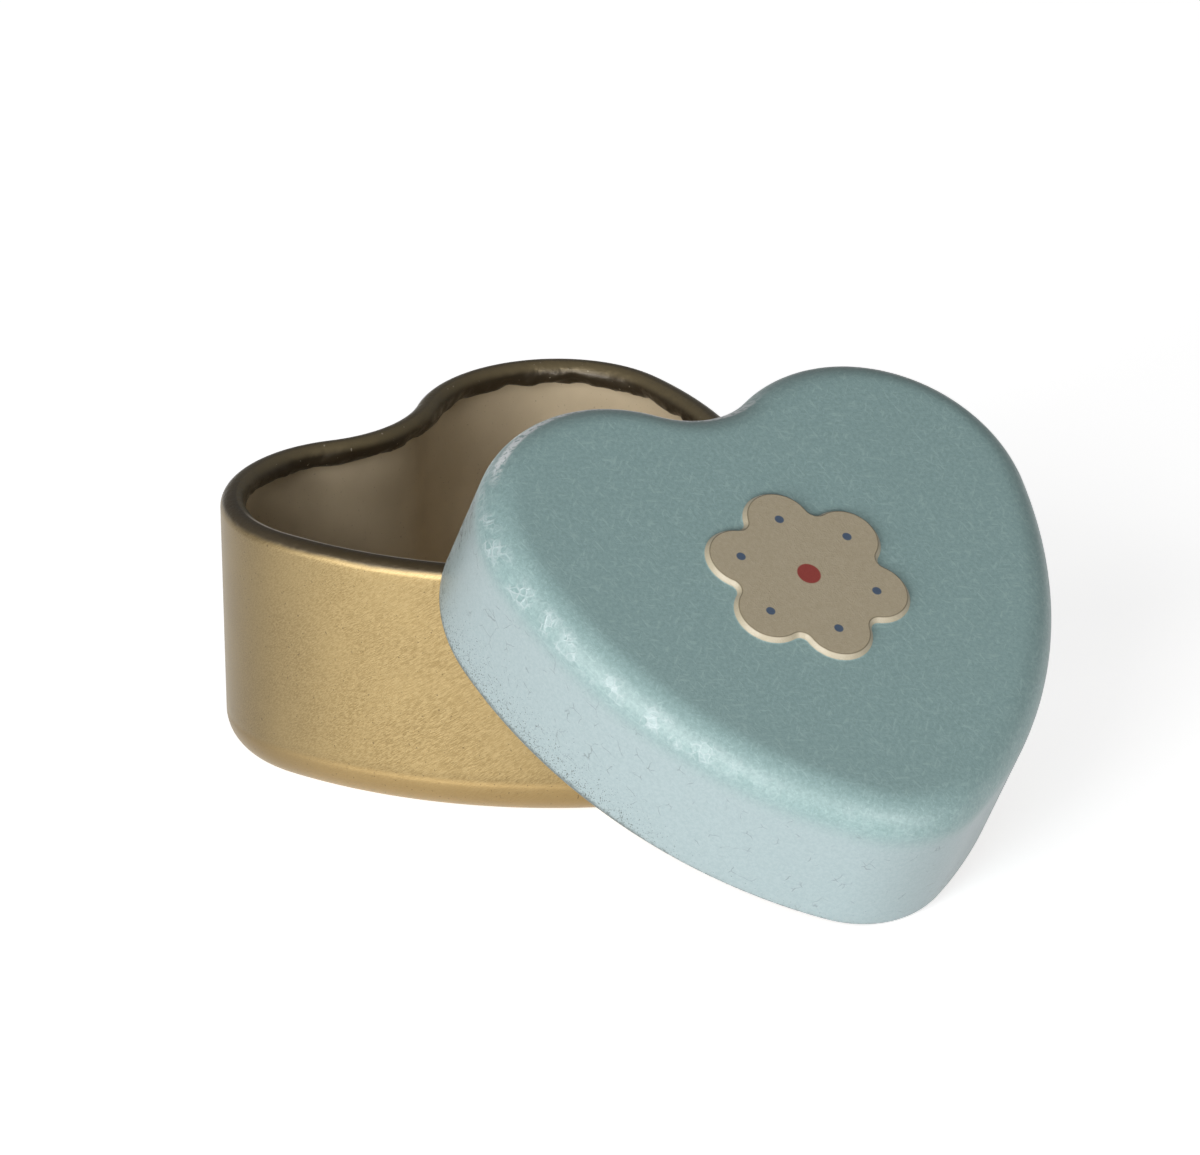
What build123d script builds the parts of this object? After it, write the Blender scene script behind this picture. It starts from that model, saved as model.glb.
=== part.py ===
from build123d import *
import os
from math import atan2, cos, degrees, hypot, radians, sin, sqrt

# A small heart-shaped keepsake tin for a child's first teeth, drawn from thin tinplate.
# The tin stands on its flat bottom. Its lid is off: it leans across the front of the tin,
# with its rolled edge on the tin's rolled rim at two places and its own tip on the table.
# Frame: millimetres, +Z up, origin on the underside at the middle of the tin's length and
# width, +Y towards the heart's notch and -Y towards its tip.

# Tinplate, the same for both pieces
sheet = 0.3

# The tin's outline in plan: two lobes, two long sides, the tip and the notch
body_width = 56.0
lobe_radius = 14.3
tip_radius = 10.1
side_radius = 48.25
notch_radius = 12.15
tip_drop = 28.4

# The tin's wall, its soft foot and its rolled rim
body_height = 27.0
foot_radius = 3.6
rim_radius = 1.35
rim_turn = 300.0

# The lid, which slides down over the tin's rim
lid_clearance = 0.35
lid_height = 17.2
shoulder_radius = 3.85
edge_radius = 0.9
edge_turn = 290.0

# The rosette stamped up into the lid's top
petal_count = 6
petal_radius = 3.7
petal_reach = 10.6
petal_valley = 0.9
relief_height = 0.55
relief_slope = 35.0
relief_crest = 0.2
rosette_back = 9.9

# Where the lid lies: its middle in plan, its heading and how close it sits
lid_middle_x = -3.12
lid_middle_y = -33.7
lid_heading = -18.24
rim_seat = 0.05
floor_seat = 0.05
seat_rounds = 25


# Plan geometry of the heart: the centres of its arcs and the angles where they meet
lobe_x = body_width / 2 - lobe_radius
lobe_y = (tip_drop + tip_radius - lobe_radius) / 2
tip_y = lobe_y - tip_drop
notch_y = lobe_y + sqrt((lobe_radius + notch_radius) ** 2 - lobe_x**2)
notch_angle = degrees(atan2(notch_y - lobe_y, -lobe_x))

# A side arc holds the lobe and the tip inside it, so its centre lies across the axis
to_lobe = side_radius - lobe_radius
to_tip = side_radius - tip_radius
lobe_to_tip = hypot(lobe_x, tip_drop)
along = (to_lobe**2 - to_tip**2 + lobe_to_tip**2) / (2 * lobe_to_tip)
across = sqrt(to_lobe**2 - along**2)
side_x = lobe_x - (along * lobe_x + across * tip_drop) / lobe_to_tip
side_y = lobe_y - (along * tip_drop - across * lobe_x) / lobe_to_tip
side_start = degrees(atan2(tip_y - side_y, -side_x))
side_end = degrees(atan2(lobe_y - side_y, lobe_x - side_x))


def draw_heart(grow=0.0):
    """Draw the heart's arcs from the end of its tip round and back, moved outwards by grow."""
    tip = tip_radius + grow
    side = side_radius + grow
    lobe = lobe_radius + grow
    notch = notch_radius - grow
    CenterArc((0, tip_y), tip, -90, 90 + side_start)
    CenterArc((side_x, side_y), side, side_start, side_end - side_start)
    CenterArc((lobe_x, lobe_y), lobe, side_end, notch_angle - side_end)
    CenterArc((0, notch_y), notch, notch_angle - 180, 180 - 2 * notch_angle)
    CenterArc((-lobe_x, lobe_y), lobe, 180 - notch_angle, notch_angle - side_end)
    CenterArc((-side_x, side_y), side, 180 - side_end, side_end - side_start)
    CenterArc((0, tip_y), tip, 180 - side_start, 90 + side_start)


def draw_curl(radius, turn):
    """Draw a rolled edge's section: the sheet turns over from the wall and back inside it."""
    middle = (radius, 0)
    outside = CenterArc(middle, radius, 180, -turn)
    inside = CenterArc(middle, radius - sheet, 180, -turn)
    Line(outside @ 0, inside @ 0)
    Line(outside @ 1, inside @ 1)


# The tin: one pan drawn from sheet, with a soft foot and its top edge rolled inwards
rim_height = body_height - rim_radius
tip_end = tip_y - tip_radius
rim_start = Plane((0, tip_end, rim_height), x_dir=(0, 1, 0), z_dir=(1, 0, 0))
with BuildPart() as tin_body:
    with BuildSketch():
        with BuildLine():
            draw_heart()
        make_face()
    extrude(amount=rim_height)
    fillet(tin_body.edges().group_by(Axis.Z)[0], foot_radius)
    offset(amount=-sheet, openings=tin_body.faces().sort_by(Axis.Z)[-1])
    with BuildLine(Plane.XY.offset(rim_height)) as rim_line:
        draw_heart()
    with BuildSketch(rim_start):
        with BuildLine():
            draw_curl(rim_radius, rim_turn)
        make_face()
    sweep(path=rim_line.wires()[0])


# The lid's wall stands outside the tin's by its rolled edge and the clearance
lid_grow = 2 * edge_radius + lid_clearance

# The middle lines of the two rolls, whose meeting carries the lid
with BuildLine(Plane.XY.offset(rim_height)) as rim_roll:
    draw_heart(-rim_radius)
with BuildLine(Plane.XY.offset(edge_radius)) as edge_roll:
    draw_heart(lid_grow - edge_radius)
rolls_apart = rim_radius + edge_radius + rim_seat


def half(roll, side):
    """One side's lobe, long side and half tip of a roll's middle line."""
    return Wire(roll.edges().filter_by(lambda edge: edge.center().X * side > 0))


def lid_at(lean, bank, rise):
    """The plane of the lid's open edge: how steeply it climbs along and across its heading."""
    turned = radians(lid_heading)
    ahead = Vector(-sin(turned), cos(turned), lean).normalized()
    beside = Vector(cos(turned), sin(turned), bank)
    up = beside.cross(ahead).normalized()
    return Plane((lid_middle_x, lid_middle_y, rise), x_dir=ahead.cross(up), z_dir=up)


# The lid starts near its lean and settles until it sits on its three supports: the rim at the
# left, the rim at the right and the table under its own tip
lean = body_height / body_width
bank = 0.0
rise = body_height
for seat_round in range(seat_rounds):
    lid_plane = lid_at(lean, bank, rise)
    placed = lid_plane.location
    left_gap = half(rim_roll, -1).distance_to(half(edge_roll, -1).moved(placed)) - rolls_apart
    right_gap = half(rim_roll, 1).distance_to(half(edge_roll, 1).moved(placed)) - rolls_apart
    tip_middle = lid_plane.from_local_coords(Vector(0, tip_y, edge_radius))
    tip_below = (tip_radius + lid_grow - edge_radius) * sqrt(1 - lid_plane.z_dir.Z**2)
    floor_gap = tip_middle.Z - tip_below - edge_radius - floor_seat
    rim_gap = (left_gap + right_gap) / 2
    rise -= (rim_gap + floor_gap) / 2
    lean -= (rim_gap - floor_gap) / body_width
    bank -= (right_gap - left_gap) / body_width


# The lid: one cap drawn from sheet, with wide soft shoulders, its bottom edge rolled inwards
# and a six-petal rosette pressed up from inside, so that the sheet keeps its thickness there
lid_up = Axis(lid_plane.origin, lid_plane.z_dir)
edge_middle = Vector(0, tip_end - lid_grow, edge_radius)
edge_start = Plane(
    lid_plane.from_local_coords(edge_middle), x_dir=lid_plane.y_dir, z_dir=-lid_plane.x_dir
)
petal_ring = petal_reach - petal_radius
with BuildPart() as lid:
    with BuildSketch(lid_plane.offset(edge_radius)):
        with BuildLine():
            draw_heart(lid_grow)
        make_face()
    extrude(amount=lid_height - edge_radius)
    fillet(lid.edges().group_by(lid_up)[-1], shoulder_radius)
    with BuildSketch(lid_plane.offset(lid_height)) as rosette:
        with Locations((0, lobe_y - rosette_back)):
            Circle(petal_ring)
            with PolarLocations(petal_ring, petal_count, start_angle=90):
                Circle(petal_radius)
        fillet(rosette.vertices(), petal_valley)
    extrude(amount=relief_height, taper=relief_slope)
    offset(amount=-sheet, openings=lid.faces().sort_by(lid_up)[0])
    with BuildLine(lid_plane.offset(edge_radius)) as edge_line:
        draw_heart(lid_grow)
    with BuildSketch(edge_start):
        with BuildLine():
            draw_curl(edge_radius, edge_turn)
        make_face()
    sweep(path=edge_line.wires()[0])
    fillet(lid.edges().group_by(lid_up)[-1], relief_crest)

tin_body.part.label = "tin_body"
lid.part.label = "lid"

os.makedirs("parts", exist_ok=True)
export_step(tin_body.part, "parts/tin_body.step")
export_step(lid.part, "parts/lid.step")

print(f"lid above the rim: left {left_gap + rim_seat:.3f}, right {right_gap + rim_seat:.3f}")
print(f"lid's tip above the table: {floor_gap + floor_seat:.3f}")
print(f"tin to lid: {tin_body.part.distance_to(lid.part):.3f}")
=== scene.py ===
import bpy
from math import atan2, ceil, cos, hypot, pi, radians, sin, sqrt, tan
from mathutils import Matrix, Vector


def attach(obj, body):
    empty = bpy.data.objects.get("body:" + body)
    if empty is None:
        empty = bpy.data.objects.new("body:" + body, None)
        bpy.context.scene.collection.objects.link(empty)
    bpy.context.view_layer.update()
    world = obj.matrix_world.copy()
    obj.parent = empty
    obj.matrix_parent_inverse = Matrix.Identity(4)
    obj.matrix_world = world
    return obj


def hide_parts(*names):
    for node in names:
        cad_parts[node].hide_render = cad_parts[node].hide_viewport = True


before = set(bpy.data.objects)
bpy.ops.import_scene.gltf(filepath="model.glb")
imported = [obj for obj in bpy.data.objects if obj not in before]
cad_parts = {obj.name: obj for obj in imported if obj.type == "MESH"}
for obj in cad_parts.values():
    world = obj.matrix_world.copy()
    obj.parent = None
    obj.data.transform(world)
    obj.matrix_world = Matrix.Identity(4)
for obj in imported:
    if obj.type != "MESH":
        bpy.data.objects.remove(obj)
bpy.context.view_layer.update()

# The tin: one pan drawn from thin tinplate, with gold lacquer outside and a pale lacquer inside.
# Its heart is seven arcs that run smoothly into each other. The foot is soft, and the top edge
# is rolled inwards into a hollow bead whose underside is slightly crushed.
mm = 0.001
sheet = 0.3 * mm
half_width = 28.0 * mm
lobe_radius = 14.3 * mm
tip_radius = 10.1 * mm
side_radius = 48.25 * mm
notch_radius = 12.15 * mm
tip_drop = 28.4 * mm
body_height = 27.0 * mm
foot_radius = 3.6 * mm
groove_depth = 0.04 * mm
groove_low_slope = 0.22 * mm
groove_high_slope = 0.3 * mm
rim_radius = 1.35 * mm
rim_turn = radians(300)
rim_height = body_height - rim_radius
crush_patch = 2.6 * mm
crush_depth = 0.9 * mm
crush_level = 0.28

# how finely the sheet is drawn: columns round the heart and rows along its section
column = 0.4 * mm
row = 0.75 * mm
border_rows = 3
bend_rows = 14
wall_rows = 28
rim_rows = 34
seam_gap = sheet / 100
smooth_angle = radians(40)

lobe_x = half_width - lobe_radius
lobe_y = (tip_drop + tip_radius - lobe_radius) / 2
tip_y = lobe_y - tip_drop
tip_end = tip_y - tip_radius


def heart_arcs():
    """The right half of the tin's outline from tip to notch: each arc's centre, left turn and radius."""
    notch_y = lobe_y + sqrt((lobe_radius + notch_radius) ** 2 - lobe_x**2)
    notch_angle = atan2(notch_y - lobe_y, -lobe_x)
    to_lobe = side_radius - lobe_radius
    to_tip = side_radius - tip_radius
    apart = hypot(lobe_x, tip_drop)
    along = (to_lobe**2 - to_tip**2 + apart**2) / (2 * apart)
    across = sqrt(to_lobe**2 - along**2)
    side_x = lobe_x - (along * lobe_x + across * tip_drop) / apart
    side_y = lobe_y - (along * tip_drop - across * lobe_x) / apart
    side_start = atan2(tip_y - side_y, -side_x)
    side_end = atan2(lobe_y - side_y, lobe_x - side_x)
    return (
        ((0, tip_y), pi / 2 + side_start, tip_radius),
        ((side_x, side_y), side_end - side_start, side_radius),
        ((lobe_x, lobe_y), notch_angle - side_end, lobe_radius),
        ((0, notch_y), pi / 2 - notch_angle, notch_radius),
    )


def start_section(name, y, z):
    """A new piece of one point on the heart's axis, from which its section is drawn."""
    bpy.ops.object.select_all(action="DESELECT")
    bpy.ops.mesh.primitive_plane_add(size=sheet, location=(0, y, z))
    piece = bpy.context.object
    piece.name = name
    bpy.ops.object.transform_apply(location=True, rotation=False, scale=False)
    bpy.ops.object.mode_set(mode="EDIT")
    bpy.ops.mesh.merge(type="CENTER")
    return piece


def draw_line(outwards, upwards, rows=1):
    """Draw the section on in a straight line, outwards being towards the heart's tip."""
    for _ in range(rows):
        move = (0, -outwards / rows, upwards / rows)
        bpy.ops.mesh.extrude_vertices_move(TRANSFORM_OT_translate={"value": move})


def draw_bend(y, z, turn, rows):
    """Draw the section on round a centre, clockwise as seen with the outside at the left."""
    bpy.ops.mesh.spin(steps=rows, angle=turn, center=(0, y, z), axis=(1, 0, 0))


def mark_point(piece, name, y, z):
    """Name the section's point nearest to y, z, to find the edge that it draws round the heart."""
    bpy.ops.object.mode_set(mode="OBJECT")
    nearest = min(piece.data.vertices, key=lambda point: hypot(point.co.y - y, point.co.z - z))
    piece.vertex_groups.new(name=name).add([nearest.index], 1.0, "REPLACE")
    bpy.ops.object.mode_set(mode="EDIT")


def carry_round_heart():
    """Carry the whole section round the heart's right half, arc by arc."""
    bpy.ops.mesh.select_all(action="SELECT")
    for (x, y), turn, radius in heart_arcs():
        steps = ceil(abs(turn) * radius / column)
        bpy.ops.mesh.spin(steps=steps, angle=-turn, center=(x, y, 0), axis=(0, 0, 1))
    bpy.ops.object.mode_set(mode="OBJECT")


def apply_modifier(piece, kind, **settings):
    """Give a piece a modifier and apply it."""
    modifier = piece.modifiers.new(kind.title(), kind)
    for name, value in settings.items():
        setattr(modifier, name, value)
    bpy.ops.object.modifier_apply(modifier=modifier.name)


def fill_edge(piece, name, margin):
    """Close the flat inside a marked edge, with a narrow border round the flat."""
    bpy.ops.object.mode_set(mode="EDIT")
    bpy.ops.mesh.select_all(action="DESELECT")
    bpy.ops.object.vertex_group_set_active(group=name)
    bpy.ops.object.vertex_group_select()
    bpy.ops.mesh.edge_face_add()
    bpy.ops.mesh.inset(thickness=margin)
    bpy.ops.object.mode_set(mode="OBJECT")


def close_seams():
    """Join the seams where the spun parts meet, and turn the faces outwards."""
    bpy.ops.object.mode_set(mode="EDIT")
    bpy.ops.mesh.select_all(action="SELECT")
    bpy.ops.mesh.remove_doubles(threshold=seam_gap)
    bpy.ops.mesh.normals_make_consistent(inside=False)
    bpy.ops.object.mode_set(mode="OBJECT")


def thicken_sheet(piece, finishes):
    """Give a shell the sheet's thickness inwards, and a finish outside, inside and on its cut edge."""
    for name in finishes:
        piece.data.materials.append(bpy.data.materials.get(name) or bpy.data.materials.new(name))
    apply_modifier(
        piece,
        "SOLIDIFY",
        thickness=sheet,
        offset=-1.0,
        material_offset=1,
        material_offset_rim=2,
    )
    bpy.ops.object.shade_smooth_by_angle(angle=smooth_angle)


floor_y = tip_end + foot_radius + border_rows * row
wall_height = rim_height - foot_radius - groove_low_slope - groove_high_slope
tin = start_section("tin_pan", floor_y, 0)
draw_line(border_rows * row, 0, border_rows)
draw_bend(tip_end + foot_radius, foot_radius, pi / 2, bend_rows)
draw_line(-groove_depth, groove_low_slope)
draw_line(groove_depth, groove_high_slope)
draw_line(0, wall_height, wall_rows)
draw_bend(tip_end + rim_radius, rim_height, rim_turn, rim_rows)
mark_point(tin, "floor_edge", floor_y, 0)

# the roll is crushed more and more as it turns under, and fully from a quarter turn on
bpy.ops.object.mode_set(mode="OBJECT")
crushed = tin.vertex_groups.new(name="crushed")
fully_under = pi / 2
roll_reach = 1.01 * rim_radius
roll_end = rim_turn - pi / 2 + radians(3)
for point in tin.data.vertices:
    inward = point.co.y - tip_end - rim_radius
    upward = point.co.z - rim_height
    turned = pi / 2 - atan2(upward, inward)
    if hypot(inward, upward) < roll_reach and 0 < turned < roll_end:
        crushed.add([point.index], min(1.0, turned / fully_under) ** 2, "REPLACE")
bpy.ops.object.mode_set(mode="EDIT")
carry_round_heart()
apply_modifier(tin, "MIRROR", merge_threshold=seam_gap)
close_seams()
fill_edge(tin, "floor_edge", row)
crush = bpy.data.textures.new("crushed_roll", "CLOUDS")
crush.noise_scale = crush_patch
crush.noise_depth = 3
apply_modifier(
    tin,
    "DISPLACE",
    texture=crush,
    texture_coords="LOCAL",
    vertex_group="crushed",
    strength=-crush_depth,
    mid_level=crush_level,
)

# how far each point is turned under is kept on the mesh, for the painted shade and highlight on the roll
crushed_index = tin.vertex_groups["crushed"].index
rolled_in = tin.data.color_attributes.new("rolled_in", "FLOAT_COLOR", "POINT")
for point in tin.data.vertices:
    share = sum(group.weight for group in point.groups if group.group == crushed_index)
    rolled_in.data[point.index].color = (share, share, share, 1)
thicken_sheet(tin, ("gold_outside", "pale_inside", "cut_edge"))


def open_material(name):
    """The node tree of a material."""
    material = bpy.data.materials[name]
    material.use_nodes = True
    return material.node_tree


def add_node(tree, kind, inputs=(), **settings):
    """Add a shader node with its own settings; inputs give each socket a value or a link."""
    node = tree.nodes.new("ShaderNode" + kind)
    for name, value in settings.items():
        setattr(node, name, value)
    for socket, value in dict(inputs).items():
        if isinstance(value, bpy.types.NodeSocket):
            tree.links.new(value, node.inputs[socket])
        else:
            node.inputs[socket].default_value = value
    return node


def place_pattern(tree, middle=(0, 0, 0), turn=(0, 0, 0), size=(1, 1, 1)):
    """A pattern's own place on the piece: its middle, its turn and how far it is drawn out."""
    own = tree.nodes.get("Texture Coordinate") or tree.nodes.new("ShaderNodeTexCoord")
    place = {"Vector": own.outputs["Object"], "Location": middle, "Rotation": turn, "Scale": size}
    return add_node(tree, "Mapping", place, vector_type="TEXTURE").outputs[0]


def measure_along(tree, place, direction):
    """How far each place lies in a direction."""
    inputs = {0: place, 1: direction}
    return add_node(tree, "VectorMath", inputs, operation="DOT_PRODUCT").outputs["Value"]


def mottle(tree, place, size, detail=2.0, roughness=0.5):
    """Soft irregular patches of about the given size."""
    inputs = {"Vector": place, "Scale": 1 / size, "Detail": detail, "Roughness": roughness}
    return add_node(tree, "TexNoise", inputs).outputs[0]


def scale_range(tree, value, low, high, start=0.0, end=1.0):
    """Carry a value from low..high to start..end, smoothly and no further.

    A share, further on, holds these numbers in this order: two places or two levels of a pattern,
    and how strong an effect is at each, if that isn't 0 and 1.
    """
    inputs = {"Value": value, "From Min": low, "From Max": high, "To Min": start, "To Max": end}
    return add_node(tree, "MapRange", inputs, interpolation_type="SMOOTHSTEP").outputs["Result"]


def reckon(tree, operation, first, *others):
    """Reckon with one value, or with several in turn, such as for their product or the largest."""
    if not others:
        return add_node(tree, "Math", {0: first}, operation=operation).outputs[0]
    for other in others:
        first = add_node(tree, "Math", {0: first, 1: other}, operation=operation).outputs[0]
    return first


def stay_between(tree, value, low_limit, high_limit):
    """1 between two limits; each limit is a pair: where the value counts as 0 and where as 1."""
    above = scale_range(tree, value, *low_limit)
    below = scale_range(tree, value, *high_limit)
    return reckon(tree, "MULTIPLY", above, below)


def blend(tree, share, first, second):
    """Blend two colours by share."""
    return add_node(tree, "Mix", {0: share, 6: first, 7: second}, data_type="RGBA").outputs[2]


def raise_surface(tree, height, distance, under=None):
    """Turn a height pattern into relief of the given depth, over an earlier one if given."""
    inputs = {"Height": height, "Distance": distance, "Strength": 1.0}
    if under is not None:
        inputs["Normal"] = under
    return add_node(tree, "Bump", inputs).outputs["Normal"]


def set_shader(tree, **inputs):
    """Set the material's shader sockets; an underscore in a name stands for a space."""
    shader = tree.nodes["Principled BSDF"]
    for name, value in inputs.items():
        socket = shader.inputs[name.replace("_", " ")]
        if isinstance(value, bpy.types.NodeSocket):
            tree.links.new(value, socket)
        else:
            socket.default_value = value


# gold lacquer: metallic and satin, with fine slanting brush marks and dark pits. Round the foot it is
# painted warmer and brighter, as painted light, and at the left it is painted darker, as painted shade.
# Where the sheet is rolled over it is dented and duller, and painted dark brown as painted shade for
# the dim room that the roll reflects, darkest on the near side and under the roll; a thin line along
# the near side of the roll is a painted highlight.
even_spread = (0.3, 0.7)
gold_dark = (0.246, 0.173, 0.072, 1)
gold_light = (0.290, 0.209, 0.090, 1)
brushed_gold = (0.355, 0.266, 0.126, 1)
# painted light: a warmer, brighter gold round the foot
foot_light_gold = (0.335, 0.232, 0.098, 1)
pit_brown = (0.08, 0.05, 0.025, 1)
# painted shade: the browns of the rolled rim, for the dim room it reflects and the shade under it
roll_shade_brown = (0.13, 0.10, 0.052, 1)
near_roll_shade = (0.065, 0.046, 0.021, 1)
inner_roll_shade = (0.18, 0.14, 0.072, 1)
under_roll_shade = (0.05, 0.036, 0.019, 1)
# painted shade: a grey for the tin's left side
left_shade_grey = (0.09, 0.075, 0.055, 1)
# painted highlight: the pale line along the near side of the roll
pale_highlight = (0.90, 0.80, 0.68, 1)
nick_pale = (0.5, 0.44, 0.34, 1)
brush_size = 0.11 * mm
brush_stretch = (6, 1, 1)
brush_turn = (0, radians(-35), radians(-60))
brush_contrast = (0.33, 0.67)
brush_depth = 0.010 * mm
fleck_size = 0.14 * mm
fleck_depth = 0.013 * mm
cloud_size = 6.0 * mm
pit_size = 0.3 * mm
pit_share = (0.70, 0.78, 0, 0.6)
nick_size = 0.45 * mm
nick_share = (0.74, 0.78, 0, 0.7)
nick_start = (0.0, 0.02)
dent_size = 0.9 * mm
dent_depth = 0.12 * mm
foot_light_share = (foot_radius + 0.7 * mm, foot_radius, 0, 0.6)
roll_start = (rim_height + 0.6 * mm, rim_height + 1.15 * mm)
roll_wave = 0.5 * mm
to_far_side = (0.7, 0.7, 0)
to_left = (-0.7, 0.7, 0)
near_shade_side = (4 * mm, -4 * mm)
left_shade_share = (19 * mm, 31 * mm, 0, 0.34)
inner_start = (0.0, 0.04)
under_start = (0.15, 0.7)
highlight_line_start = (0.002, 0.02)
highlight_line_end = (0.12, 0.06)
highlight_line_share = (-5 * mm, -9 * mm, 0, 0.8)
gold_roughness = (0.25, 0.75, 0.42, 0.5)
roll_metal = (0, 1, 1.0, 0.55)
roll_coat = (0, 1, 0.25, 0.3)

tree = open_material("gold_outside")
plain = place_pattern(tree)
height = add_node(tree, "SeparateXYZ", {"Vector": plain}).outputs["Z"]
far_side = measure_along(tree, plain, to_far_side)
leftward = measure_along(tree, plain, to_left)
turned_in = add_node(tree, "Attribute", attribute_name="rolled_in").outputs["Fac"]
brushed = place_pattern(tree, turn=brush_turn, size=brush_stretch)
marks = mottle(tree, brushed, brush_size, detail=3.0, roughness=0.6)
flecks = mottle(tree, plain, fleck_size, detail=1.0)
clouds = mottle(tree, plain, cloud_size, detail=3.0)
pits = mottle(tree, plain, pit_size, detail=1.0)
gold = blend(tree, scale_range(tree, clouds, *even_spread), gold_dark, gold_light)
gold = blend(tree, scale_range(tree, marks, *brush_contrast), gold, brushed_gold)
# painted light: the foot is painted warmer and brighter
gold = blend(tree, scale_range(tree, height, *foot_light_share), gold, foot_light_gold)
gold = blend(tree, scale_range(tree, pits, *pit_share), gold, pit_brown)

wavy_height = reckon(tree, "ADD", height, reckon(tree, "MULTIPLY", clouds, roll_wave))
rolled = scale_range(tree, wavy_height, *roll_start)
inner = scale_range(tree, turned_in, *inner_start)
near_shade = scale_range(tree, far_side, *near_shade_side)
# painted shade: the roll is painted dark brown, darker on the near side, inside the roll and darkest
# under it
gold = blend(tree, rolled, gold, blend(tree, near_shade, roll_shade_brown, near_roll_shade))
gold = blend(tree, inner, gold, inner_roll_shade)
gold = blend(tree, scale_range(tree, turned_in, *under_start), gold, under_roll_shade)
# painted shade: darker towards the left
gold = blend(tree, scale_range(tree, leftward, *left_shade_share), gold, left_shade_grey)
# painted highlight: a thin pale line along the top of the roll, on the near side
highlight_line = stay_between(tree, turned_in, highlight_line_start, highlight_line_end)
highlight_line = reckon(tree, "MULTIPLY", highlight_line, scale_range(tree, far_side, *highlight_line_share))
gold = blend(tree, highlight_line, gold, pale_highlight)
nicks = scale_range(tree, mottle(tree, plain, nick_size, detail=1.0), *nick_share)
nicks = reckon(tree, "MULTIPLY", nicks, scale_range(tree, turned_in, *nick_start))
gold = blend(tree, nicks, gold, nick_pale)

rolled = reckon(tree, "MAXIMUM", rolled, inner)
relief = raise_surface(tree, marks, brush_depth)
relief = raise_surface(tree, flecks, fleck_depth, under=relief)
dents = reckon(tree, "MULTIPLY", mottle(tree, plain, dent_size, detail=3.0), rolled)
relief = raise_surface(tree, dents, dent_depth, under=relief)
satin = scale_range(tree, marks, *gold_roughness)
metal = reckon(tree, "SUBTRACT", scale_range(tree, rolled, *roll_metal), highlight_line)
coat = scale_range(tree, rolled, *roll_coat)
set_shader(tree, Base_Color=gold, Metallic=metal, Roughness=satin, Normal=relief)
set_shader(tree, Coat_Weight=coat, Coat_Roughness=0.32)

# pale lacquer inside: satin beige, slightly cloudy, with faint specks
pale_dark = (0.545, 0.445, 0.298, 1)
pale_light = (0.60, 0.493, 0.335, 1)
speck_brown = (0.2, 0.15, 0.09, 1)
pale_cloud_size = 5.0 * mm
pale_speck_size = 0.24 * mm
pale_speck_share = (0.71, 0.78, 0, 0.5)
pale_speck_depth = 0.008 * mm
tree = open_material("pale_inside")
plain = place_pattern(tree)
clouds = mottle(tree, plain, pale_cloud_size, detail=3.0)
specks = mottle(tree, plain, pale_speck_size, detail=1.0)
pale = blend(tree, scale_range(tree, clouds, *even_spread), pale_dark, pale_light)
pale = blend(tree, scale_range(tree, specks, *pale_speck_share), pale, speck_brown)
relief = raise_surface(tree, specks, pale_speck_depth)
set_shader(tree, Base_Color=pale, Metallic=0.0, Roughness=0.42, Normal=relief)

# cut edge: bare steel, dulled
steel = (0.32, 0.29, 0.25, 1)
dull_patch = 0.4 * mm
steel_roughness = (0.3, 0.7, 0.35, 0.6)
tree = open_material("cut_edge")
dulled = mottle(tree, place_pattern(tree), dull_patch)
dulled = scale_range(tree, dulled, *steel_roughness)
set_shader(tree, Base_Color=steel, Metallic=1.0, Roughness=dulled)

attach(tin, "tin")
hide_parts("tin_body")


# The lid: one cap drawn from the same sheet, with wide soft shoulders and its bottom edge rolled
# inwards. A six-petal rosette is pressed up in its top and printed. It is enamelled pale blue,
# and leans with its rolled edge on the tin's rim and its tip on the table.
edge_radius = 0.9 * mm
edge_turn = radians(290)
lid_clearance = 0.35 * mm
lid_height = 17.2 * mm
shoulder_radius = 3.85 * mm
skirt_rows = 18
edge_rows = 26
lid_end = tip_end - 2 * edge_radius - lid_clearance

# where the lid lies: the middle of its open edge, the way to its right and the way up from it
lid_middle = (-3.12 * mm, -33.7 * mm, 14.0758 * mm)
lid_side = Vector((0.958313, -0.279422, -0.059657))
lid_up = Vector((-0.091066, -0.496612, 0.863182))
lid_turn = Matrix((lid_side, lid_up.cross(lid_side), lid_up)).transposed().to_euler()

top_y = lid_end + shoulder_radius + border_rows * row
lid = start_section("lid_cap", top_y, lid_height)
draw_line(border_rows * row, 0, border_rows)
draw_bend(lid_end + shoulder_radius, lid_height - shoulder_radius, -pi / 2, bend_rows)
draw_line(0, -(lid_height - shoulder_radius - edge_radius), skirt_rows)
draw_bend(lid_end + edge_radius, edge_radius, -edge_turn, edge_rows)
mark_point(lid, "top_edge", top_y, lid_height)
carry_round_heart()
apply_modifier(lid, "MIRROR", merge_threshold=seam_gap)
close_seams()

# the rosette: its section climbs from a base bend up a slope to a crest bend, and is carried
# round each petal and, the other way, round each valley between two petals
petal_count = 6
petal_radius = 3.7 * mm
petal_ring = 6.9 * mm
petal_columns = 16
valley_radius = 0.9 * mm
valley_columns = 8
relief_height = 0.55 * mm
relief_slope = radians(55)
base_bend = 0.3 * mm
crest_bend = 0.22 * mm
relief_bend_rows = 4
slope_rows = 2
crest_rows = 2
rosette_y = lobe_y - 9.9 * mm
crest = lid_height + relief_height
petal_end = rosette_y - petal_ring - petal_radius
base_run = base_bend * tan(relief_slope / 2)
crest_run = crest_bend * tan(relief_slope / 2)
slope_run = relief_height / sin(relief_slope) - base_run - crest_run
flower_y = petal_end - 2 * base_run
crest_y = petal_end + relief_height / tan(relief_slope) + crest_run
rosette = start_section("rosette", flower_y, lid_height)
draw_line(-base_run, 0)
draw_bend(petal_end - base_run, lid_height + base_bend, -relief_slope, relief_bend_rows)
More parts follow.
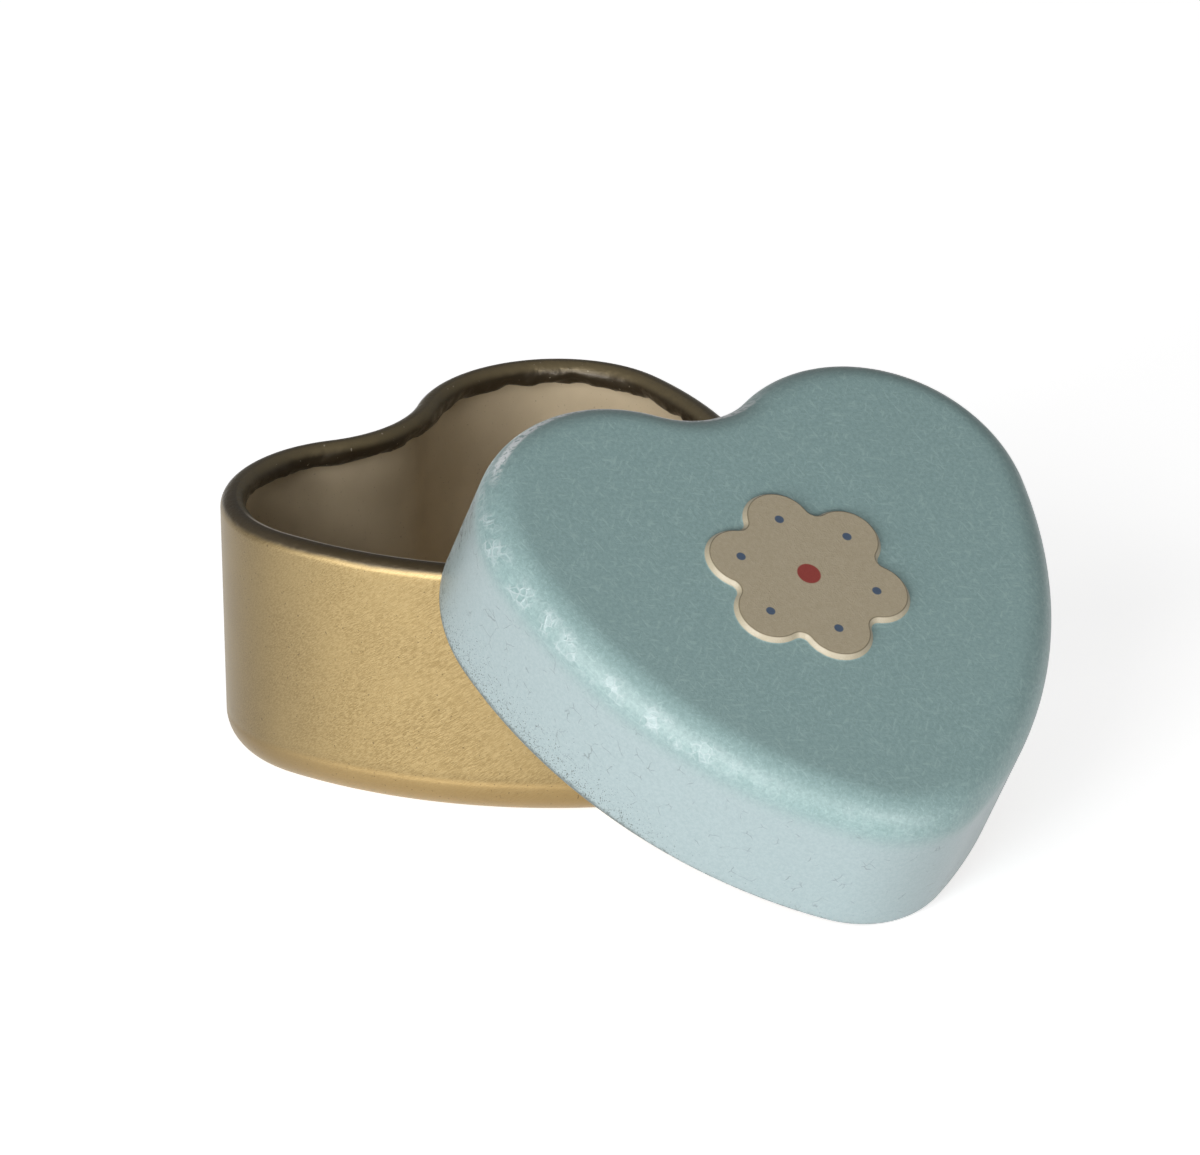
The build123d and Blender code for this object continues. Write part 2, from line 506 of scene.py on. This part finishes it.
draw_line(-slope_run * cos(relief_slope), slope_run * sin(relief_slope), slope_rows)
draw_bend(crest_y, crest - crest_bend, relief_slope, relief_bend_rows)
draw_line(-crest_run, 0, crest_rows)
mark_point(rosette, "flower_edge", flower_y, lid_height)
mark_point(rosette, "petal_edge", crest_y + crest_run, crest)

half_petal = pi / petal_count
beside_petal = petal_ring * sin(half_petal)
past_petal = sqrt((petal_radius + valley_radius) ** 2 - beside_petal**2)
valley_away = petal_ring * cos(half_petal) + past_petal
petal_turn = atan2(valley_away * sin(half_petal), valley_away * cos(half_petal) - petal_ring)
valley_turn = petal_turn - half_petal
bpy.ops.mesh.select_all(action="SELECT")
for petal in range(petal_count):
    at_petal = 2 * half_petal * petal
    for away, angle, turn, steps in (
        (petal_ring, at_petal, petal_turn, petal_columns),
        (valley_away, at_petal + half_petal, -2 * valley_turn, valley_columns),
        (petal_ring, at_petal + 2 * half_petal, petal_turn, petal_columns),
    ):
        middle = (away * sin(angle), rosette_y - away * cos(angle), 0)
        bpy.ops.mesh.spin(steps=steps, angle=-turn, center=middle, axis=(0, 0, 1))
bpy.ops.object.mode_set(mode="OBJECT")
close_seams()
fill_edge(rosette, "petal_edge", crest_run)

# the rosette becomes part of the cap: the flat between the two edges is filled
lid.select_set(True)
bpy.context.view_layer.objects.active = lid
bpy.ops.object.join()
bpy.ops.object.mode_set(mode="EDIT")
bpy.ops.mesh.select_all(action="DESELECT")
for name in ("top_edge", "flower_edge"):
    bpy.ops.object.vertex_group_set_active(group=name)
    bpy.ops.object.vertex_group_select()
bpy.ops.mesh.fill(use_beauty=True)
bpy.ops.object.mode_set(mode="OBJECT")
close_seams()
thicken_sheet(lid, ("blue_outside", "bare_inside", "cut_edge"))
lid.location = lid_middle
lid.rotation_euler = lid_turn
bpy.ops.object.transform_apply(location=True, rotation=True, scale=False)


def draw_out(tree, place, lie, size):
    """The same places, drawn out along a direction in the piece's own plan."""
    inputs = {"Vector": place, "Rotation": (0, 0, lie), "Scale": size}
    return add_node(tree, "Mapping", inputs, vector_type="TEXTURE").outputs[0]


def bend_places(tree, place, size, reach):
    """The same places, pushed about by up to reach in patches of the given size."""
    patches = {"Vector": place, "Scale": 1 / size, "Detail": 3.0}
    push = add_node(tree, "TexNoise", patches).outputs["Color"]
    inputs = {0: push, 1: (reach, reach, reach), 2: place}
    return add_node(tree, "VectorMath", inputs, operation="MULTIPLY_ADD").outputs["Vector"]


def crack_lines(tree, place, size, width):
    """Thin lines of an irregular net of cracks."""
    inputs = {"Vector": place, "Scale": 1 / size}
    net = add_node(tree, "TexVoronoi", inputs, feature="DISTANCE_TO_EDGE").outputs["Distance"]
    return scale_range(tree, net, 0.0, width, 1.0, 0.0)


def crack_cells(tree, place, size):
    """A tone of its own for each cell of the same net."""
    inputs = {"Vector": place, "Scale": 1 / size}
    return add_node(tree, "TexVoronoi", inputs, feature="F1").outputs["Color"]


# blue enamel: satin and fibrous, with hairline cracks down the skirt; the skirt is painted paler than
# the top, as painted light, for the light that it catches
blue_dark = (0.166, 0.252, 0.248, 1)
blue_light = (0.214, 0.31, 0.306, 1)
strand_blue = (0.27, 0.375, 0.37, 1)
# painted light: paler blues for the skirt, which catches more light than the top
skirt_lit_dark = (0.258, 0.325, 0.335, 1)
skirt_lit_light = (0.292, 0.36, 0.37, 1)
crack_grey = (0.075, 0.09, 0.085, 1)
fibre_size = 0.4 * mm
fibre_contrast = (0.35, 0.65)
fibre_depth = 0.024 * mm
strand_size = 0.3 * mm
strand_lies = (radians(15), radians(75), radians(140))
strand_stretch = (1, 5, 1)
strand_share = (0.6, 0.72)
strand_strength = 0.5
strand_depth = 0.006 * mm
grain_size = 0.16 * mm
grain_depth = 0.013 * mm
skirt_zone_start = lid_height - 2.0 * mm
skirt_zone_end = lid_height - 1.4 * shoulder_radius
scuffed_side = (-16 * mm, -25 * mm)
bend_size = 0.7 * mm
bend_reach = 0.5 * mm
crack_size = 2.0 * mm
crack_width = 0.03
crack_patch = 1.8 * mm
crack_share = (0.57, 0.68)
crack_strength = 0.5
scuffed_cracks = 0.05

tree = open_material("blue_outside")
level = place_pattern(tree, middle=lid_middle, turn=lid_turn)
split = add_node(tree, "SeparateXYZ", {"Vector": level})
rightward = split.outputs["X"]
notchward = split.outputs["Y"]
height = split.outputs["Z"]
fibres = mottle(tree, level, fibre_size, detail=5.0, roughness=0.75)
grain = mottle(tree, level, grain_size, detail=1.0)
strands = 0.0
for lie in strand_lies:
    drawn_out = draw_out(tree, level, lie, strand_stretch)
    strands = reckon(tree, "MAXIMUM", mottle(tree, drawn_out, strand_size, detail=2.0), strands)
strands = scale_range(tree, strands, *strand_share)
enamel = blend(tree, scale_range(tree, fibres, *fibre_contrast), blue_dark, blue_light)
enamel = blend(tree, reckon(tree, "MULTIPLY", strands, strand_strength), enamel, strand_blue)
# painted light: the skirt is painted paler than the top, blended in below the shoulder
skirt_lit = blend(tree, scale_range(tree, fibres, *fibre_contrast), skirt_lit_dark, skirt_lit_light)
skirt_zone = scale_range(tree, height, skirt_zone_start, skirt_zone_end)
enamel = blend(tree, skirt_zone, enamel, skirt_lit)
scuffed = scale_range(tree, rightward, *scuffed_side)
bent = bend_places(tree, level, bend_size, bend_reach)
hairlines = crack_lines(tree, bent, crack_size, crack_width)
cracked = mottle(tree, level, crack_patch, detail=2.0)
cracked = reckon(tree, "ADD", cracked, reckon(tree, "MULTIPLY", scuffed, scuffed_cracks))
cracked = scale_range(tree, cracked, *crack_share)
cracked = reckon(tree, "MULTIPLY", cracked, hairlines, skirt_zone, crack_strength)
enamel = blend(tree, cracked, enamel, crack_grey)

# wear: the enamel is rubbed dark along the rolled edge, with dark specks above it at the left, and
# chipped and grimy at the end of the left lobe
grime_green = (0.12, 0.16, 0.14, 1)
worn_dark = (0.07, 0.075, 0.065, 1)
edge_wear_share = (1.6 * mm, 0.9 * mm, 0, 0.7)
edge_wear_wave = 1.6 * mm
edge_wear_scuffed = 0.5 * mm
speck_scuffed = 0.125
speck_fade = 0.026 / mm
speck_share = (0.67, 0.74, 0, 0.75)
lobe_start = (15 * mm, 21 * mm)
lobe_finish = (26 * mm, 23 * mm)
chip_size = 0.42 * mm
chip_lie = radians(47)
chip_stretch = (2.2, 1, 1)
chip_lobe = 0.1
chip_share = (0.60, 0.68, 0, 0.75)
chip_patch = 2.5 * mm
chip_patch_share = (0.38, 0.58, 0.25, 1.0)
grime_strength = 0.4
edge_wear = reckon(tree, "ADD", height, reckon(tree, "MULTIPLY", fibres, edge_wear_wave))
scuffed_wear = reckon(tree, "MULTIPLY", scuffed, edge_wear_scuffed)
edge_wear = reckon(tree, "SUBTRACT", edge_wear, scuffed_wear)
edge_wear = scale_range(tree, edge_wear, *edge_wear_share)
low_down = reckon(tree, "MULTIPLY", scuffed, speck_scuffed)
low_down = reckon(tree, "SUBTRACT", low_down, reckon(tree, "MULTIPLY", height, speck_fade))
specks = scale_range(tree, reckon(tree, "ADD", grain, low_down), *speck_share)
lobe_end = stay_between(tree, notchward, lobe_start, lobe_finish)
lobe_end = reckon(tree, "MULTIPLY", lobe_end, scuffed)
chip_place = draw_out(tree, level, chip_lie, chip_stretch)
chips = mottle(tree, chip_place, chip_size, detail=5.0, roughness=0.62)
chips = reckon(tree, "ADD", chips, reckon(tree, "MULTIPLY", lobe_end, chip_lobe))
chips = scale_range(tree, chips, *chip_share)
broken_up = scale_range(tree, mottle(tree, level, chip_patch, detail=2.0), *chip_patch_share)
chips = reckon(tree, "MULTIPLY", chips, lobe_end, skirt_zone, broken_up)
grime = reckon(tree, "MULTIPLY", lobe_end, skirt_zone, grime_strength)
worn = reckon(tree, "MAXIMUM", edge_wear, specks, chips)
enamel = blend(tree, grime, enamel, grime_green)
enamel = blend(tree, worn, enamel, worn_dark)

# along the shoulder the enamel is crazed, most of all at the left, where whitish flecks and lines in
# the crazing are painted highlights; a thin broken white line at the far left is a painted highlight
# painted highlights: whitish colours for the crazing and for the far left edge
fleck_highlight = (0.52, 0.58, 0.60, 1)
craze_highlight = (0.56, 0.61, 0.63, 1)
edge_highlight_white = (0.70, 0.72, 0.73, 1)
crazed_low = (lid_height - 3.3 * mm, lid_height - 2.4 * mm)
crazed_high = (lid_height - 0.5 * mm, lid_height - 1.4 * mm)
crazed_patch = 3.0 * mm
crazed_patch_share = (0.4, 0.6)
crazed_side = (-14 * mm, -23 * mm, 0.2, 1.0)
craze_size = 0.85 * mm
craze_width = 0.16
craze_strength = 0.26
craze_depth = 0.032 * mm
fleck_share = (0.35, 0.65, 0, 0.2)
edge_highlight_low = (lid_height - 2.0 * mm, lid_height - 1.4 * mm)
edge_highlight_high = (lid_height - 0.7 * mm, lid_height - 1.0 * mm)
edge_highlight_patch = 0.5 * mm
edge_highlight_patch_share = (0.38, 0.52, 0, 0.85)
lid_far_side = (0.69, 0.73, 0)
far_start = (-4 * mm, 1 * mm)
left_start = (8 * mm, 2 * mm)
lit_crazed_zone = reckon(
    tree,
    "MULTIPLY",
    stay_between(tree, height, crazed_low, crazed_high),
    scale_range(tree, mottle(tree, level, crazed_patch, detail=2.0), *crazed_patch_share),
    scale_range(tree, rightward, *crazed_side),
)
crazed = reckon(tree, "MULTIPLY", crack_lines(tree, bent, craze_size, craze_width), lit_crazed_zone)
# painted highlights: whitish flecks and lines in the crazing on the lit shoulder
flecks = scale_range(tree, crack_cells(tree, bent, craze_size), *fleck_share)
enamel = blend(tree, reckon(tree, "MULTIPLY", flecks, lit_crazed_zone), enamel, fleck_highlight)
enamel = blend(tree, reckon(tree, "MULTIPLY", crazed, craze_strength), enamel, craze_highlight)
# painted highlight: a thin broken white line along the far left edge of the shoulder
highlight_line = reckon(
    tree,
    "MULTIPLY",
    stay_between(tree, height, edge_highlight_low, edge_highlight_high),
    scale_range(tree, mottle(tree, level, edge_highlight_patch, detail=3.0), *edge_highlight_patch_share),
    scale_range(tree, measure_along(tree, level, lid_far_side), *far_start),
    scale_range(tree, rightward, *left_start),
)
enamel = blend(tree, highlight_line, enamel, edge_highlight_white)

# the rosette is printed beige, with a paler bevel, a thin dark line along its edge, a red middle
# and a small blue dot on each petal
beige_dark = (0.293, 0.249, 0.169, 1)
beige_light = (0.338, 0.288, 0.204, 1)
bevel_pale = (0.44, 0.39, 0.29, 1)
line_brown = (0.12, 0.095, 0.055, 1)
dot_blue = (0.022, 0.055, 0.115, 1)
middle_red = (0.21, 0.022, 0.019, 1)
print_start = (lid_height + 0.03 * mm, lid_height + 0.06 * mm)
bevel_share = (crest - 0.03 * mm, crest - 0.12 * mm, 0, 0.4)
line_low = (crest - 0.07 * mm, crest - 0.035 * mm)
line_high = (crest - 0.002 * mm, crest - 0.008 * mm)
line_strength = 0.8
dot_reach = 7.0 * mm
dot_share = (0.42 * mm, 0.54 * mm, 0.9, 0)
middle_share = (1.15 * mm, 1.3 * mm, 0.95, 0)
rosette_middle = Vector(lid_middle) + lid_up.cross(lid_side) * rosette_y + lid_up * crest
beige = blend(tree, scale_range(tree, fibres, *even_spread), beige_dark, beige_light)
beige = blend(tree, scale_range(tree, height, *bevel_share), beige, bevel_pale)
line = stay_between(tree, height, line_low, line_high)
beige = blend(tree, reckon(tree, "MULTIPLY", line, line_strength), beige, line_brown)

# each point's distance from its own petal's dot, by the law of cosines
flower = place_pattern(tree, middle=rosette_middle, turn=lid_turn)
away = add_node(tree, "VectorMath", {0: flower}, operation="LENGTH").outputs["Value"]
turned = add_node(tree, "TexGradient", {"Vector": flower}, gradient_type="RADIAL").outputs["Fac"]
turned = reckon(tree, "FRACT", reckon(tree, "MULTIPLY", turned, petal_count))
turned = reckon(tree, "MULTIPLY", reckon(tree, "SUBTRACT", turned, 0.5), 2 * half_petal)
to_dot = reckon(tree, "MULTIPLY", reckon(tree, "COSINE", turned), -2 * dot_reach)
to_dot = reckon(tree, "MULTIPLY", reckon(tree, "ADD", to_dot, away), away)
to_dot = reckon(tree, "SQRT", reckon(tree, "ADD", to_dot, dot_reach**2))
beige = blend(tree, scale_range(tree, to_dot, *dot_share), beige, dot_blue)
beige = blend(tree, scale_range(tree, away, *middle_share), beige, middle_red)
enamel = blend(tree, scale_range(tree, height, *print_start), enamel, beige)

# the enamel's relief and its shine, which worn places lack
craze_roughness = (0, 1, 0.45, 0.38)
enamel_shine = 0.5
enamel_coat = 0.12
enamel_sheen = 0.28
sound = reckon(tree, "SUBTRACT", 1.0, worn)
relief = raise_surface(tree, fibres, fibre_depth)
relief = raise_surface(tree, strands, strand_depth, under=relief)
relief = raise_surface(tree, grain, grain_depth, under=relief)
relief = raise_surface(tree, crazed, craze_depth, under=relief)
satin = scale_range(tree, lit_crazed_zone, *craze_roughness)
set_shader(tree, Base_Color=enamel, Metallic=0.0, Roughness=satin, Normal=relief)
shine = reckon(tree, "MULTIPLY", sound, enamel_shine)
coat = reckon(tree, "MULTIPLY", sound, enamel_coat)
sheen = reckon(tree, "MULTIPLY", sound, enamel_sheen)
set_shader(tree, Specular_IOR_Level=shine, Coat_Weight=coat, Coat_Roughness=0.32)
set_shader(tree, Sheen_Weight=sheen, Sheen_Roughness=0.25)

# inside of the lid: plain pale lacquer, satin and slightly cloudy
bare_dark = (0.44, 0.37, 0.265, 1)
bare_light = (0.50, 0.425, 0.315, 1)
bare_cloud_size = 3.0 * mm
tree = open_material("bare_inside")
level = place_pattern(tree, middle=lid_middle, turn=lid_turn)
clouds = mottle(tree, level, bare_cloud_size, detail=3.0)
bare = blend(tree, scale_range(tree, clouds, *even_spread), bare_dark, bare_light)
set_shader(tree, Base_Color=bare, Metallic=0.0, Roughness=0.42)

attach(lid, "lid")
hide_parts("lid")


# The table: a wide pale sheet that keeps soft shadows, and is white to the eye and in reflections.
# It lies a hair's breadth under the tin, so that the two faces don't coincide.
table_width = 12.0
table_top = (0, 0, -0.02 * mm)
table_white = (0.8, 0.8, 0.8, 1)
table_glow = 0.68
bpy.ops.object.select_all(action="DESELECT")
bpy.ops.mesh.primitive_grid_add(
    x_subdivisions=4, y_subdivisions=4, size=table_width, location=table_top
)
table = bpy.context.object
table.name = "table_sheet"
table.data.materials.append(bpy.data.materials.new("table_white"))
tree = open_material("table_white")
seen = add_node(tree, "LightPath").outputs
shown = reckon(
    tree, "MAXIMUM", seen["Is Camera Ray"], seen["Is Glossy Ray"], seen["Is Transmission Ray"]
)
glow = reckon(tree, "MULTIPLY", shown, table_glow)
set_shader(tree, Base_Color=table_white, Roughness=0.9)
set_shader(tree, Emission_Color=(1, 1, 1, 1), Emission_Strength=glow)

# The light: a pale room with soft lamps, low and high round the object's left side and one low
# before it. Sizes and places are in metres, and each lamp points at the object.
room_glow = 0.2
lamp_width = 0.3
low_depth = 0.26
high_depth = 0.3
room = bpy.data.worlds.new("room")
bpy.context.scene.world = room
room.use_nodes = True
room.node_tree.nodes["Background"].inputs["Color"].default_value = (1, 1, 1, 1)
room.node_tree.nodes["Background"].inputs["Strength"].default_value = room_glow
for lamp_name, place, depth, power in (
    ("left_low_lamp", (-0.99, 0.0, 0.14), low_depth, 3.9),
    ("left_lamp", (-0.866, 0.0, 0.5), high_depth, 1.9),
    ("side_low_lamp", (-0.897, -0.419, 0.14), low_depth, 4.5),
    ("side_lamp", (-0.785, -0.366, 0.5), high_depth, 1.9),
    ("front_lamp", (-0.256, -0.957, 0.14), low_depth, 4.6),
):
    bpy.ops.object.light_add(type="AREA", location=place)
    lamp = bpy.context.object
    lamp.name = lamp_name
    lamp.data.shape = "RECTANGLE"
    lamp.data.size = lamp_width
    lamp.data.size_y = depth
    lamp.data.energy = power
    lamp.rotation_euler = (-Vector(place)).to_track_quat("-Z", "Y").to_euler()

# The camera, where the photograph was taken from: its place in metres, the way to its right and
# the way it looks, both of length 1.
eye = Vector((-0.851249, -0.843776, 0.555248))
right = Vector((0.69512, -0.71869, -0.01694))
ahead = Vector((0.65072, 0.63905, -0.41008))
bpy.ops.object.camera_add(location=eye)
camera = bpy.context.object
camera.rotation_euler = Matrix((right, right.cross(ahead), -ahead)).transposed().to_euler()
camera.data.sensor_width = 36.0
camera.data.lens = 390.0
camera.data.clip_end = 30.0
bpy.context.scene.camera = camera
bpy.context.scene.view_settings.view_transform = "Standard"
